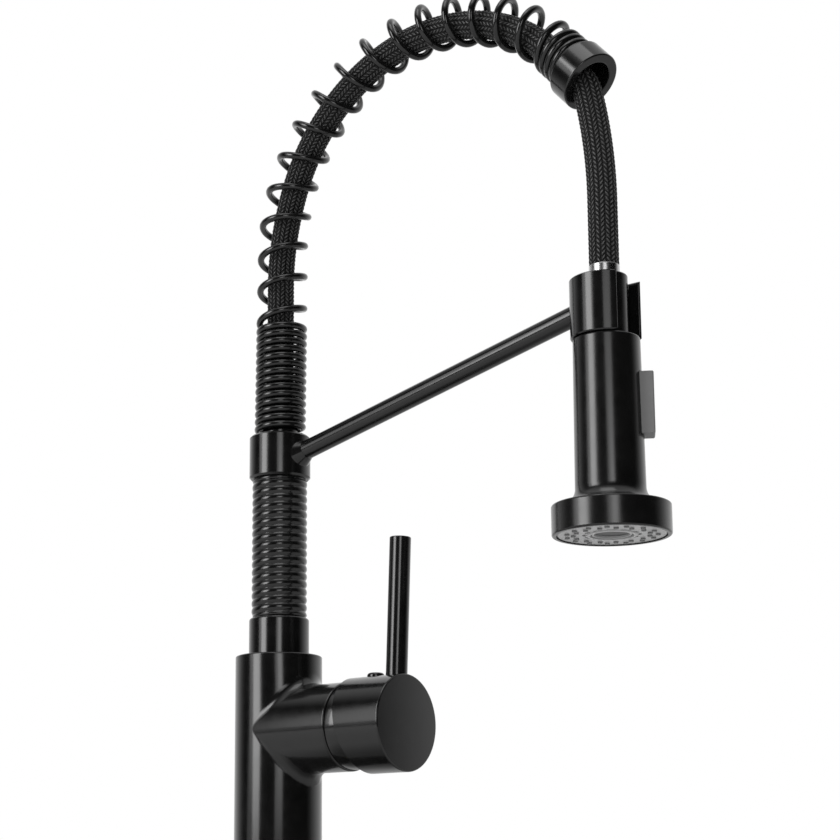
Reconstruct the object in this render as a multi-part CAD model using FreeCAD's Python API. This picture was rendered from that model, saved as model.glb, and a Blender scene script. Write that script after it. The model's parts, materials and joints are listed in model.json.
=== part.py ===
"""Single lever kitchen mixer whose spray head hangs on a sprung hose and pulls down out of its clip.

The frame has its origin on the deck under the middle of the column, +Z up. The knob and the spray
head both point toward -Y. Lengths are millimetres.
"""
import FreeCAD, Part
import math
import os

os.makedirs("parts", exist_ok=True)

V = FreeCAD.Vector
UP = V(0, 0, 1)
RIGHT = V(1, 0, 0)
OUT = V(0, -1, 0)
BACK = V(0, 1, 0)

# Clearances
GAP = 0.3
SEAT = 0.05
SEAM = 0.3
PIN_PLAY = 0.02
HEX_KEY = 2.5
SMALL_HEX_KEY = 2.0
KEY_DEPTH = 2.5
# How far a cut runs past the face that it opens
PAST = 1.0

# Column and the branch that holds the cartridge
BODY_HEIGHT = 150.0
COLUMN_R = 22.5
COLUMN_WALL = 3.6
CORE_HEIGHT = 88.0
BRANCH_INSET = 0.1
BRANCH_REACH = 48.5
BRANCH_DROP = 38.9
BRANCH_FILLET = 7.0
BODY_EDGE = 1.0
BASE_R = 25.5
BASE_HEIGHT = 6.0
BASE_EDGE = 1.0
GASKET_WIDTH = 4.0
GASKET_HEIGHT = 2.0

# What clamps the mixer to its deck
SHANK_R = 16.0
SHANK_WALL = 3.5
SHANK_BELOW_DECK = 52.0
SHANK_THREAD = 14.0
DECK_THICKNESS = 30.0
WASHER_R = 25.0
RUBBER_WASHER_HEIGHT = 3.0
METAL_WASHER_HEIGHT = 2.0
NUT_ACROSS_FLATS = 46.0
NUT_HEIGHT = 8.0

# Waterways in the casting
HOSE_THREAD_R = 4.5
HOSE_THREAD_DEPTH = 12.0
INLET_HOSE_PLAY = 0.5
INLET_R = 3.5
INLET_DROP = 6.6
OUTLET_R = 4.0
OUTLET_RISE = 8.0

# Cartridge
CARTRIDGE_R = 17.5
CARTRIDGE_SEAT = 21.0
CARTRIDGE_BASE = 3.9
CARTRIDGE_LENGTH = 20.0
CARTRIDGE_WALL = 2.0
DISC_THICKNESS = 3.5
INNER_PLAY = 0.2
BALL_PLAY = 0.15
BALL_SINK = 0.1
MOVING_DISC_R = 11.8
TURRET_NECK_R = 11.3
TURRET_END = 52.0
PIVOT_REACH = 50.0
STEM_HALF = 3.0
STEM_BALL_R = 2.4
BALL_NECK = 1.0
STEM_LENGTH = 18.0
PIVOT_PIN_R = 1.5
LEVER_TILT = 20.0
CARTRIDGE_NUT_HEIGHT = 6.0
CARTRIDGE_NUT_WALL = 1.6
NOTCH_WIDTH = 4.0
NOTCH_DEPTH = 2.5
NOTCH_COUNT = 4
BONNET_STEP = 0.8
BONNET_END = 63.0
BONNET_WALL = 7.4

# Knob and lever
KNOB_CLEARANCE = 0.6
KNOB_WALL = 1.9
KNOB_BACK_TOP = 51.4
KNOB_BACK_SLANT = 9.8
KNOB_END = 83.4
KNOB_FRONT = 13.4
KNOB_EDGE = 0.8
KNOB_BOSS_R = 8.0
KNOB_BOSS_START = 57.0
LEVER_REACH = 76.1
LEVER_R = 5.38
LEVER_LEAN = 2.45
LEVER_TOP = 92.7
LEVER_PEG_R = 3.5
LEVER_PEG_LENGTH = 8.0
LEVER_SINK = 5.7
LEVER_EDGE = 0.7
PLUG_REACH = 64.1
PLUG_R = 4.4
PLUG_RISE = 1.7
PLUG_ROUNDING = 0.9
KNOB_SCREW_R = 2.5

# Swivelling neck
SLEEVE_R = 15.66
SLEEVE_HEIGHT = 20.0
SLEEVE_EDGE = 1.5
SPIGOT_R = 12.5
SPIGOT_BORE_R = 9.5
SPIGOT_LENGTH = 28.0
SOCKET_SPARE = 2.0
RING_SECTION_R = 1.0
RING_SPACING = 6.0
RING_COUNT = 2
FIRST_RING = 6.0
SWIVEL_WASHER_WIDTH = 2.0
SWIVEL_WASHER_HEIGHT = 1.0
RETAINER_DEPTH = 8.0
RETAINER_R = 2.5
RETAINER_TIP_R = 2.0
RETAINER_TIP_OUTSIDE = 1.0
RETAINER_GROOVE = 1.3
RETAINER_SINK = 0.5
SPIGOT_EDGE = 0.5
WASHER_OUTSIDE_SPIGOT = 0.4

# Ribbed riser and the collar that carries the arm
RIB_R = 14.5
RIB_DEPTH = 0.75
RIB_COUNT = 18
RISER_HEIGHT = 74.2
RISER_TAIL = 15.0
RISER_BORE_R = 7.6
COLLAR_R = 16.13
COLLAR_HEIGHT = 23.2
COLLAR_WALL = 3.5
COLLAR_EDGE = 1.0
COIL_GUIDE_HEIGHT = 18.0
COIL_GUIDE_PLAY = 0.6
COIL_GUIDE_EDGE = 0.8
COLLAR_SCREW_R = 2.0

# Arm and clip
REACH = 201.9
ARM_R = 5.0
ARM_START = 9.1
ARM_SLOPE = 13.5
ARM_PEG = 1.85
BRAZE_LENGTH = 3.2
BRAZE_SINK = 1.0
CLIP_R = 16.7
CLIP_BORE_R = 12.1
CLIP_ABOVE_ARM = 9.85
CLIP_HEIGHT = 28.6
CLIP_SLOT = 19.8
LIP_ROUNDING = 2.4
LIP_EDGE = 0.8
CLIP_EDGE = 0.5

# Hose and its spring
HOSE_R = 7.0
SPRING_LEAN = 0.77
SPRING_RISE = 102.8
ARCH_TURN = 138.5
RING_RUN = 31.1
RING_OFFSET = 4.25
RING_R = 15.3
RING_BORE_R = 10.5
RING_LENGTH = 13.0
RING_EDGE = 0.8
HOSE_INSIDE = 2.2
HOSE_ENTRY_RATIO = 1.475
RIM_BEND_R = 24.0
RIM_BEND = 28.7
DROP_BEND_R = 248.0
COIL_R = 13.7
WIRE_R = 1.85
WIRE_GAP = 0.45
LOWER_TIGHT_TURNS = 14.4
LAST_OPEN_TURNS = 5.7
LAST_OPEN_PITCH = 15.5
FIRST_OPEN_TURNS = 10.6
UPPER_TIGHT_TURNS = 3.4
COIL_START_ANGLE = 60.0

# Hose end inside the spray head
FERRULE_R = 7.25
FERRULE_ABOVE_NECK = 5.3
FERRULE_LENGTH = 20.0
FERRULE_EDGE = 0.4
HOSE_NUT_R = 8.9
HOSE_NUT_HEIGHT = 10.0
HOSE_NUT_PLAY = 0.1
HOSE_BORE_R = 4.5
HOSE_WASHER_HEIGHT = 1.5
INLET_SINK = 2.0
INLET_FITTING_LENGTH = 12.0

# Spray head
NECK_R = 10.7
NECK_ABOVE_CLIP = 1.6
NECK_EDGE = 0.8
SHOULDER_R = 15.7
SHOULDER_EDGE = 1.0
GRIP_R = 16.4
GRIP_WALL = 3.2
GRIP_HEIGHT = 79.0
FLARE_R = 8.0
FLANGE_R = 27.5
FLANGE_HEIGHT = 14.3
FLANGE_EDGE = 0.9
FLANGE_RIM = 2.1
FLANGE_ROOF = 5.0
INSERT_RECESS = 0.5
INSERT_THICKNESS = 3.5
FACE_RING_R = 11.6
FACE_RING_WIDTH = 1.5
FACE_RING_RISE = 0.5
FACE_GROOVE_WIDTH = 1.0
FACE_GROOVE_DEPTH = 0.9
FACE_EDGE = 0.4
FACE_RIM_GAP = 0.35
FACE_RIM_DEPTH = 1.2
GUIDE_RISE = 2.0
AERATOR_R = 8.2
AERATOR_DEPTH = 2.2
AERATOR_THICKNESS = 1.3
FACE_SLOT_COUNT = 12
FACE_SLOT_R = 12.7
FACE_SLOT_WIDTH = 1.5
FACE_SLOT_DEPTH = 1.0
FACE_SLOT_SHARE = 0.7
NOZZLES_PER_ROW = 15
NOZZLE_ROW_R = 20.8
NOZZLE_ROWS = 2
NOZZLE_ROW_STEP = 3.2
NOZZLE_R = 1.15
NOZZLE_RISE = 0.7
MAT_THICKNESS = 1.5
CORE_R = 9.6
CORE_FOOT = 20.6
CAVITY_ROOF = 4.7
CORE_WINDOW = 6.0

# Spray button and the spool that it shifts
BUTTON_TURN = 31.3
BUTTON_MIDDLE = 32.05
BUTTON_HEIGHT = 29.3
BUTTON_WIDTH = 12.0
BUTTON_FACE = 21.1
BUTTON_DEPTH = 6.6
BUTTON_CORNER = 0.8
WINDOW_PLAY = 0.4
BUTTON_HUB_WALL = 1.3
BUTTON_PIN_COVER = 0.5
BUTTON_PIN_R = 1.25
BUTTON_PIN_PLACE = 12.2
FINGER_HALF = 1.3
FINGER_WIDTH = 4.4
FINGER_TIP = 2.9
SPOOL_R = 4.0
SPOOL_WAIST_R = 2.6
SPOOL_HEIGHT = 36.0
SPOOL_PLAY = 0.3


def outline(corners):
    """Closed wire through (radius, height) corners; a third value rounds that corner."""
    points = [V(corner[0], 0, corner[1]) for corner in corners]
    stretches = []
    for i, corner in enumerate(corners):
        here = points[i]
        rounding = corner[2] if len(corner) > 2 else 0
        if not rounding:
            stretches.append((here, here, here))
            continue
        back = (points[i - 1] - here).normalize()
        ahead = (points[(i + 1) % len(points)] - here).normalize()
        half = back.getAngle(ahead) / 2
        leg = rounding / math.tan(half)
        middle = here + (back + ahead).normalize() * (rounding / math.sin(half) - rounding)
        stretches.append((here + back * leg, middle, here + ahead * leg))
    edges = []
    for i, (start, middle, end) in enumerate(stretches):
        if (end - start).Length > 1e-6:
            edges.append(Part.Arc(start, middle, end).toShape())
        following = stretches[(i + 1) % len(stretches)][0]
        if (following - end).Length > 1e-6:
            edges.append(Part.LineSegment(end, following).toShape())
    return Part.Wire(edges)


def placed(shape, base, axis=UP):
    """The shape moved so that its origin is at base and its Z runs along axis."""
    copy = shape.copy()
    copy.Placement = FreeCAD.Placement(base, FreeCAD.Rotation(UP, axis))
    return copy


def turned(corners, base=V(0, 0, 0), axis=UP):
    """Solid of revolution of an outline, set on base along axis."""
    return placed(Part.Face(outline(corners)).revolve(V(0, 0, 0), UP, 360), base, axis)


def rod(radius, start, end, base=V(0, 0, 0), axis=UP):
    """Round bar from start to end along axis, both measured from base."""
    return Part.makeCylinder(radius, end - start, base + axis * start, axis)


def tube(outer, inner, start, end, base=V(0, 0, 0), axis=UP):
    """Round bar with a bore right through it."""
    return rod(outer, start, end, base, axis).cut(rod(inner, start - PAST, end + PAST, base, axis))


def block(x_half, y_from, y_to, z_from, z_to):
    """Box centred on x = 0."""
    return Part.makeBox(2 * x_half, y_to - y_from, z_to - z_from, V(-x_half, y_from, z_from))


def hexagon(across_flats, start, end, base=V(0, 0, 0), axis=UP):
    """Six sided bar from start to end along axis."""
    corner = across_flats / math.sqrt(3)
    turns = [k * math.pi / 3 for k in range(7)]
    points = [V(corner * math.cos(turn), corner * math.sin(turn), start) for turn in turns]
    return placed(Part.Face(Part.makePolygon(points)).extrude(V(0, 0, end - start)), base, axis)


def ring_of(radius, section_r, height, base=V(0, 0, 0), axis=UP):
    """Round section ring, its middle at height along axis."""
    return placed(Part.makeTorus(radius, section_r), base + axis * height, axis)


def save(name, *solids):
    """Write one sub-part, which may be several like solids."""
    shape = solids[0] if len(solids) == 1 else Part.makeCompound(list(solids))
    if not shape.isValid():
        raise ValueError(name + " is not a valid shape")
    shape.exportStep("parts/" + name + ".step")
    print(f"{name}: {len(shape.Solids)} solid, {shape.Volume:.0f} mm3")


# Base and deck fixing
shank_hole_r = SHANK_R + GAP
gasket_middle = (shank_hole_r + BASE_R) / 2
gasket_groove = tube(gasket_middle + GASKET_WIDTH / 2, gasket_middle - GASKET_WIDTH / 2, 0, GASKET_HEIGHT)
base_ring = turned([(shank_hole_r, 0), (BASE_R, 0), (BASE_R, BASE_HEIGHT, BASE_EDGE),
                    (shank_hole_r, BASE_HEIGHT)])
save("base_ring", base_ring.cut(gasket_groove))
save("base_gasket", tube(gasket_middle + GASKET_WIDTH / 2 - SEAT, gasket_middle - GASKET_WIDTH / 2 + SEAT,
                         0, GASKET_HEIGHT - SEAT))

shank_top = BASE_HEIGHT + SHANK_THREAD
save("mounting_shank", tube(SHANK_R, SHANK_R - SHANK_WALL, -SHANK_BELOW_DECK, shank_top))
rubber_bottom = -DECK_THICKNESS - RUBBER_WASHER_HEIGHT
metal_bottom = rubber_bottom - METAL_WASHER_HEIGHT
save("rubber_washer", tube(WASHER_R, shank_hole_r, rubber_bottom, -DECK_THICKNESS))
save("metal_washer", tube(WASHER_R, shank_hole_r, metal_bottom, rubber_bottom))
fixing_nut = hexagon(NUT_ACROSS_FLATS, metal_bottom - NUT_HEIGHT, metal_bottom)
save("fixing_nut", fixing_nut.cut(rod(SHANK_R + SEAT, metal_bottom - NUT_HEIGHT, metal_bottom)))

# Body: a cast column with the cartridge branch, bored for the water
branch_r = COLUMN_R - BRANCH_INSET
branch_z = BODY_HEIGHT - BRANCH_DROP
axis_point = V(0, 0, branch_z)
cartridge_bore_r = CARTRIDGE_R + SEAT
cartridge_end = CARTRIDGE_SEAT + CARTRIDGE_LENGTH
nut_r = CARTRIDGE_R + CARTRIDGE_NUT_WALL
socket_floor = BODY_HEIGHT - SPIGOT_LENGTH - SOCKET_SPARE
socket_r = SPIGOT_R + SEAT
core_bottom = BODY_HEIGHT - CORE_HEIGHT
inlet_z = branch_z - INLET_DROP
inlet_x = SHANK_R - SHANK_WALL - HOSE_THREAD_R - INLET_HOSE_PLAY
outlet_z = branch_z + OUTLET_RISE
retainer_z = BODY_HEIGHT - RETAINER_DEPTH
retainer_foot = V(0, 0, retainer_z)


def water_ports(start, end):
    """The two inlets and the outlet, as bars along the branch axis."""
    ports = [rod(OUTLET_R, start, end, V(0, 0, outlet_z), OUT)]
    for side in (-1, 1):
        ports.append(rod(INLET_R, start, end, V(side * inlet_x, 0, inlet_z), OUT))
    return ports


column = turned([(0, BASE_HEIGHT), (COLUMN_R, BASE_HEIGHT), (COLUMN_R, BODY_HEIGHT), (0, BODY_HEIGHT)])
casting = column.fuse(rod(branch_r, 0, BRANCH_REACH, axis_point, OUT)).removeSplitter()
crotch = [edge for edge in casting.Edges if "BSpline" in edge.Curve.TypeId]
casting = casting.makeFillet(BRANCH_FILLET, crotch)
rims = [edge for edge in casting.Edges if "Circle" in edge.Curve.TypeId
        and (abs(edge.CenterOfMass.z - BODY_HEIGHT) < 0.01 or abs(edge.CenterOfMass.y + BRANCH_REACH) < 0.01)]
casting = casting.makeFillet(BODY_EDGE, rims)
for bore in (rod(SHANK_R + SEAT, 0, shank_top + GAP),
             rod(COLUMN_R - COLUMN_WALL, shank_top + GAP, core_bottom),
             rod(socket_r, socket_floor, BODY_HEIGHT + PAST),
             rod(cartridge_bore_r, CARTRIDGE_SEAT, BRANCH_REACH, axis_point, OUT),
             rod(nut_r + SEAT, cartridge_end, BRANCH_REACH + PAST, axis_point, OUT),
             rod(OUTLET_R, 0, CARTRIDGE_SEAT, V(0, 0, outlet_z), OUT),
             rod(RETAINER_R + SEAT, 0, COLUMN_R + PAST, retainer_foot, BACK)):
    casting = casting.cut(bore)
for side in (-1, 1):
    foot = V(side * inlet_x, 0, 0)
    casting = casting.cut(rod(HOSE_THREAD_R, core_bottom - PAST, core_bottom + HOSE_THREAD_DEPTH, foot))
    casting = casting.cut(rod(INLET_R, core_bottom, inlet_z + INLET_R, foot))
    casting = casting.cut(rod(INLET_R, 0, CARTRIDGE_SEAT + SEAT, foot + UP * inlet_z, OUT))
save("body_column", casting)

retainer_tip = SPIGOT_R - RETAINER_GROOVE + GAP
retainer_head = COLUMN_R - RETAINER_SINK
tip_end = socket_r + RETAINER_TIP_OUTSIDE
retainer = turned([(0, retainer_tip), (RETAINER_TIP_R, retainer_tip), (RETAINER_TIP_R, tip_end),
                   (RETAINER_R, tip_end), (RETAINER_R, retainer_head), (0, retainer_head)],
                  retainer_foot, BACK)
retainer = retainer.cut(hexagon(HEX_KEY, retainer_head - KEY_DEPTH, COLUMN_R, retainer_foot, BACK))
save("retaining_screw", retainer)

# Cartridge, from its seat outward
plate_end = CARTRIDGE_SEAT + CARTRIDGE_BASE
fixed_disc_end = plate_end + SEAT + DISC_THICKNESS
moving_disc_end = fixed_disc_end + SEAT + DISC_THICKNESS
turret_start = moving_disc_end + INNER_PLAY
cavity_r = CARTRIDGE_R - CARTRIDGE_WALL
tilt = math.radians(LEVER_TILT)
stem_ball_reach = moving_disc_end - BALL_SINK
disc_travel = (PIVOT_REACH - stem_ball_reach) * math.sin(tilt)

plate = rod(CARTRIDGE_R, CARTRIDGE_SEAT + SEAT, plate_end, axis_point, OUT)
fixed_disc = rod(cavity_r - INNER_PLAY, plate_end + SEAT, fixed_disc_end, axis_point, OUT)
for port in water_ports(CARTRIDGE_SEAT, fixed_disc_end + PAST):
    plate = plate.cut(port)
    fixed_disc = fixed_disc.cut(port)
save("cartridge_base", plate)
save("ceramic_disc_fixed", fixed_disc)

disc_centre = axis_point - UP * disc_travel / 2
moving_disc = rod(MOVING_DISC_R, fixed_disc_end + SEAT, moving_disc_end, disc_centre, OUT)
ball_socket = rod(STEM_BALL_R + BALL_PLAY, stem_ball_reach - STEM_BALL_R - BALL_SINK, moving_disc_end + PAST,
                  axis_point, OUT)
save("ceramic_disc_moving", moving_disc.cut(ball_socket))

housing_front = cartridge_end - CARTRIDGE_WALL
save("cartridge_housing",
     turned([(cavity_r, plate_end + SEAT), (CARTRIDGE_R, plate_end + SEAT), (CARTRIDGE_R, cartridge_end),
             (TURRET_NECK_R + SEAT, cartridge_end), (TURRET_NECK_R + SEAT, housing_front),
             (cavity_r, housing_front)], axis_point, OUT))

turret_step = housing_front - INNER_PLAY
turret = turned([(0, turret_start), (cavity_r - SEAT, turret_start), (cavity_r - SEAT, turret_step),
                 (TURRET_NECK_R, turret_step), (TURRET_NECK_R, TURRET_END), (0, TURRET_END)],
                axis_point, OUT)
slot_rise = (PIVOT_REACH - turret_start) * math.tan(tilt) + STEM_HALF / math.cos(tilt) + GAP
slot_drop = (TURRET_END - PIVOT_REACH) * math.tan(tilt) + STEM_HALF / math.cos(tilt) + GAP
turret = turret.cut(block(STEM_HALF + GAP, -TURRET_END - PAST, -turret_start + PAST,
                          branch_z - slot_drop, branch_z + slot_rise))
pivot = V(0, -PIVOT_REACH, branch_z)
pin_half = math.sqrt(TURRET_NECK_R ** 2 - PIVOT_PIN_R ** 2) - GAP
save("cartridge_turret", turret.cut(rod(PIVOT_PIN_R + PIN_PLAY, -COLUMN_R, COLUMN_R, pivot, RIGHT)))
save("turret_pin", rod(PIVOT_PIN_R, -pin_half, pin_half, pivot, RIGHT))

stem_end = PIVOT_REACH + STEM_LENGTH
stem = block(STEM_HALF, -stem_end, -stem_ball_reach - BALL_NECK, branch_z - STEM_HALF, branch_z + STEM_HALF)
stem = stem.fuse(Part.makeSphere(STEM_BALL_R, V(0, -stem_ball_reach, branch_z)))
save("cartridge_stem", stem.cut(rod(PIVOT_PIN_R + SEAT, -COLUMN_R, COLUMN_R, pivot, RIGHT)))

nut_start = cartridge_end + SEAT
nut_end = nut_start + CARTRIDGE_NUT_HEIGHT
cartridge_nut = tube(nut_r, TURRET_NECK_R + GAP, nut_start, nut_end, axis_point, OUT)
for k in range(NOTCH_COUNT):
    notch = block(NOTCH_WIDTH / 2, -nut_end - PAST, -nut_end + NOTCH_DEPTH, nut_r - NOTCH_WIDTH, nut_r + PAST)
    notch.rotate(V(0, 0, 0), OUT, 360 * k / NOTCH_COUNT)
    cartridge_nut = cartridge_nut.cut(notch.translated(axis_point))
save("cartridge_nut", cartridge_nut)

# The bonnet is a slice of a ball round the tilt pivot, so that the knob can tip over it
bonnet_r = branch_r - BONNET_STEP
bonnet_bore_r = branch_r - BONNET_WALL
bonnet_start = BRANCH_REACH + SEAM


def on_ball(radius, reach):
    """Radius of the ball's slice at a distance from the column's axis."""
    return math.sqrt(radius ** 2 - (reach - PIVOT_REACH) ** 2)


bonnet_middle = (bonnet_start + BONNET_END) / 2
skirt_start = nut_end + GAP
ball_edge = Part.Arc(V(on_ball(bonnet_r, bonnet_start), 0, bonnet_start),
                     V(on_ball(bonnet_r, bonnet_middle), 0, bonnet_middle),
                     V(on_ball(bonnet_r, BONNET_END), 0, BONNET_END)).toShape()
inner_edge = Part.makePolygon([V(on_ball(bonnet_r, BONNET_END), 0, BONNET_END),
                               V(bonnet_bore_r, 0, BONNET_END), V(bonnet_bore_r, 0, skirt_start),
                               V(nut_r, 0, skirt_start), V(nut_r, 0, bonnet_start),
                               V(on_ball(bonnet_r, bonnet_start), 0, bonnet_start)])
bonnet = Part.Face(Part.Wire([ball_edge] + inner_edge.Edges)).revolve(V(0, 0, 0), UP, 360)
save("bonnet_ring", placed(bonnet, axis_point, OUT))

# Knob: a hollow cap with a bare front, slanted at the back, held to the stem by a grub screw
knob_cavity_r = math.sqrt((bonnet_r + KNOB_CLEARANCE) ** 2 - (KNOB_BACK_TOP - PIVOT_REACH) ** 2)
knob_r = knob_cavity_r + KNOB_WALL
knob_floor = KNOB_END - KNOB_FRONT
knob_rear = KNOB_BACK_TOP - PAST
knob = turned([(0, KNOB_BOSS_START), (KNOB_BOSS_R, KNOB_BOSS_START), (KNOB_BOSS_R, knob_floor),
               (knob_cavity_r, knob_floor), (knob_cavity_r, knob_rear), (knob_r, knob_rear),
               (knob_r, KNOB_END, KNOB_EDGE), (0, KNOB_END)], axis_point, OUT)
slant = KNOB_BACK_SLANT / (2 * knob_r)
beyond = 2 * knob_r


def knob_back(height):
    """Reach of the knob's back edge at a height over its axis."""
    return KNOB_BACK_TOP + slant * (knob_r - height)


wedge_points = [V(-beyond, -KNOB_BACK_TOP + beyond, branch_z - beyond),
                V(-beyond, -knob_back(-beyond), branch_z - beyond),
                V(-beyond, -knob_back(beyond), branch_z + beyond),
                V(-beyond, -KNOB_BACK_TOP + beyond, branch_z + beyond)]
wedge = Part.Face(Part.makePolygon(wedge_points + wedge_points[:1])).extrude(RIGHT * 2 * beyond)
lever_axis = V(0, -math.sin(math.radians(LEVER_LEAN)), math.cos(math.radians(LEVER_LEAN)))
lever_foot = V(0, -LEVER_REACH, branch_z)
lever_shoulder = knob_r - LEVER_SINK
lever_peg = lever_shoulder - LEVER_PEG_LENGTH
plug_foot = V(0, -PLUG_REACH, branch_z)
knob = knob.cut(wedge)
for hollow in (block(STEM_HALF + SEAT, -stem_end - GAP, -KNOB_BOSS_START + PAST,
                     branch_z - STEM_HALF - SEAT, branch_z + STEM_HALF + SEAT),
               rod(KNOB_SCREW_R + SEAT, 0, KNOB_BOSS_R + PAST, plug_foot),
               rod(PLUG_R, knob_cavity_r - PAST, knob_r + PAST, plug_foot),
               rod(LEVER_R + SEAT, lever_shoulder - SEAT, knob_r + LEVER_R, lever_foot, lever_axis),
               rod(LEVER_PEG_R + SEAT, lever_peg - GAP, lever_shoulder, lever_foot, lever_axis)):
    knob = knob.cut(hollow)
save("knob", knob)

knob_screw = rod(KNOB_SCREW_R, STEM_HALF + SEAT, KNOB_BOSS_R, plug_foot)
knob_screw = knob_screw.cut(hexagon(HEX_KEY, KNOB_BOSS_R - KEY_DEPTH, KNOB_BOSS_R + PAST, plug_foot))
save("knob_set_screw", knob_screw)
plug_top = knob_r + PLUG_RISE
save("knob_plug", turned([(0, knob_cavity_r), (PLUG_R - SEAT, knob_cavity_r),
                          (PLUG_R - SEAT, plug_top, PLUG_RISE * PLUG_ROUNDING), (0, plug_top)], plug_foot))
lever_length = LEVER_TOP / math.cos(math.radians(LEVER_LEAN))
save("lever_rod", turned([(0, lever_peg), (LEVER_PEG_R, lever_peg), (LEVER_PEG_R, lever_shoulder),
                          (LEVER_R, lever_shoulder), (LEVER_R, lever_length, LEVER_EDGE), (0, lever_length)],
                         lever_foot, lever_axis))

# Swivelling neck: a sleeve on a spigot that turns in the body's socket
sleeve_bottom = BODY_HEIGHT + SEAM
sleeve_top = BODY_HEIGHT + SLEEVE_HEIGHT
spigot_bottom = BODY_HEIGHT - SPIGOT_LENGTH
washer_inner = SPIGOT_R + WASHER_OUTSIDE_SPIGOT
sleeve = turned([(SPIGOT_BORE_R, spigot_bottom), (SPIGOT_R, spigot_bottom, SPIGOT_EDGE),
                 (SPIGOT_R, sleeve_bottom), (SLEEVE_R, sleeve_bottom), (SLEEVE_R, sleeve_top, SLEEVE_EDGE),
                 (SPIGOT_BORE_R, sleeve_top)])
sleeve = sleeve.cut(tube(washer_inner + SWIVEL_WASHER_WIDTH, washer_inner, sleeve_bottom,
                         BODY_HEIGHT + SEAT + SWIVEL_WASHER_HEIGHT))
sleeve = sleeve.cut(tube(SPIGOT_R + PAST, SPIGOT_R - RETAINER_GROOVE, retainer_z - RETAINER_TIP_R - GAP,
                         retainer_z + RETAINER_TIP_R + GAP))
ring_heights = [spigot_bottom + FIRST_RING + RING_SPACING * k for k in range(RING_COUNT)]
for height in ring_heights:
    sleeve = sleeve.cut(tube(SPIGOT_R + PAST, SPIGOT_R - 2 * RING_SECTION_R - SEAT,
                             height - RING_SECTION_R - SEAT, height + RING_SECTION_R + SEAT))
save("neck_sleeve", sleeve)
save("neck_o_rings", *[ring_of(SPIGOT_R - RING_SECTION_R, RING_SECTION_R, height) for height in ring_heights])
save("swivel_washer", tube(washer_inner + SWIVEL_WASHER_WIDTH - SEAT, washer_inner + SEAT,
                           BODY_HEIGHT + SEAT, BODY_HEIGHT + SWIVEL_WASHER_HEIGHT))

# Riser: round ribs over a tube, then a smooth seat for the collar and a guide inside the coil
riser_top = sleeve_top + RISER_HEIGHT
collar_top = riser_top + COLLAR_HEIGHT
guide_r = COIL_R - 2 * WIRE_R - COIL_GUIDE_PLAY
collar_bore_r = COLLAR_R - COLLAR_WALL
collar_seat_r = collar_bore_r - SEAT
rib_pitch = RISER_HEIGHT / RIB_COUNT
valley_r = RIB_R - RIB_DEPTH
rib_round = ((rib_pitch / 2) ** 2 + RIB_DEPTH ** 2) / (2 * RIB_DEPTH)
rib_angle = math.asin(rib_pitch / 2 / rib_round)
rib_apex_r = valley_r + rib_pitch / 2 * math.tan(rib_angle)
riser_foot = sleeve_top - RISER_TAIL
ribs = []
for k in range(RIB_COUNT):
    valley = sleeve_top + k * rib_pitch
    ribs += [(valley_r, valley), (rib_apex_r, valley + rib_pitch / 2, rib_round)]
riser = turned([(RISER_BORE_R, riser_foot), (SPIGOT_BORE_R - SEAT, riser_foot),
                (SPIGOT_BORE_R - SEAT, sleeve_top)] + ribs
               + [(valley_r, riser_top), (collar_seat_r, riser_top), (collar_seat_r, collar_top),
                  (guide_r, collar_top), (guide_r, collar_top + COIL_GUIDE_HEIGHT, COIL_GUIDE_EDGE),
                  (RISER_BORE_R, collar_top + COIL_GUIDE_HEIGHT)])
save("riser_tube", riser)

# Arm from the collar to the clip, brazed into a socket at each end
slope = math.radians(ARM_SLOPE)
arm_axis = V(0, -math.cos(slope), math.sin(slope))
arm_root = V(0, 0, riser_top + ARM_START)
arm_from = (collar_seat_r + ARM_PEG) / math.cos(slope)
arm_to = (REACH - CLIP_BORE_R - ARM_PEG) / math.cos(slope)
save("arm_rod", rod(ARM_R, arm_from, arm_to, arm_root, arm_axis))
arm_socket = rod(ARM_R + SEAT, arm_from - SEAT, arm_to + SEAT, arm_root, arm_axis)

collar = turned([(collar_bore_r, riser_top), (COLLAR_R - COLLAR_EDGE, riser_top),
                 (COLLAR_R, riser_top + COLLAR_EDGE), (COLLAR_R, collar_top - COLLAR_EDGE),
                 (COLLAR_R - COLLAR_EDGE, collar_top), (collar_bore_r, collar_top)])
braze_start = collar_bore_r + BRAZE_SINK
braze_end = COLLAR_R + BRAZE_LENGTH
braze = Part.makeCone(ARM_R + BRAZE_LENGTH, ARM_R + SEAT, braze_end - braze_start,
                      arm_root + arm_axis * braze_start, arm_axis)
collar = collar.fuse(braze).cut(arm_socket)
screw_z = (riser_top + collar_top) / 2
screw_foot = V(0, 0, screw_z)
collar = collar.cut(rod(COLLAR_SCREW_R + SEAT, 0, COLLAR_R + PAST, screw_foot, BACK))
collar = collar.cut(rod(collar_bore_r, riser_top - PAST, collar_top + PAST))
save("collar", collar)
screw_head = COLLAR_R - GAP
collar_screw = rod(COLLAR_SCREW_R, collar_bore_r, screw_head, screw_foot, BACK)
key_socket = hexagon(SMALL_HEX_KEY, screw_head - SMALL_HEX_KEY, COLLAR_R, screw_foot, BACK)
save("collar_set_screw", collar_screw.cut(key_socket))

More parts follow.
